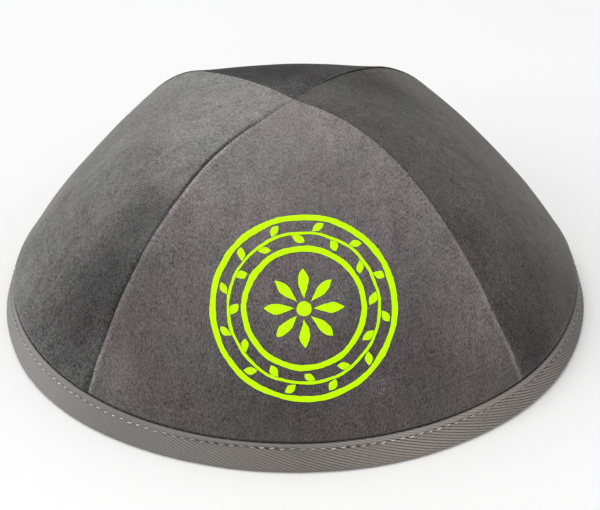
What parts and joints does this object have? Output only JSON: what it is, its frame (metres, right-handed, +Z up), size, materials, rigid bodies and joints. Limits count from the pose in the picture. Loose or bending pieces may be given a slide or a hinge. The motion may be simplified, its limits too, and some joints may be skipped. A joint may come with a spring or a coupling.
{
  "type": "four-panel suede kippah skullcap",
  "caption": "Soft suede skullcap: a deep dome of gores that squares up to a seam junction on top, with a folded twill binding round the rim and a printed medallion in front.",
  "frame": {"origin": "centre of the rim, on the plane that the cap's folded edge rests on", "axes": "+Z up through the seam junction on top, -Y towards the front panel that bears the medallion, +X to its right as seen from the front"},
  "size_m": [0.1714, 0.1714, 0.0685],
  "materials": {
    "suede_front": "warm grey micro-suede with a short brushed nap",
    "suede_side": "grey micro-suede with a short brushed nap",
    "suede_back": "dark grey micro-suede, its nap brushed down",
    "twill_binding": "grey twill tape with diagonal ribs and pale stitching",
    "print_film": "thin matte yellow-green transfer film"
  },
  "bodies": {
    "root": {"front_panel": "suede_front", "right_panel": "suede_side", "back_panel": "suede_back", "left_panel": "suede_side", "rim_binding": "twill_binding", "print_outer_ring": "print_film", "print_wreath": "print_film", "print_inner_ring": "print_film", "print_rosette": "print_film"}
  },
  "joints": []
}
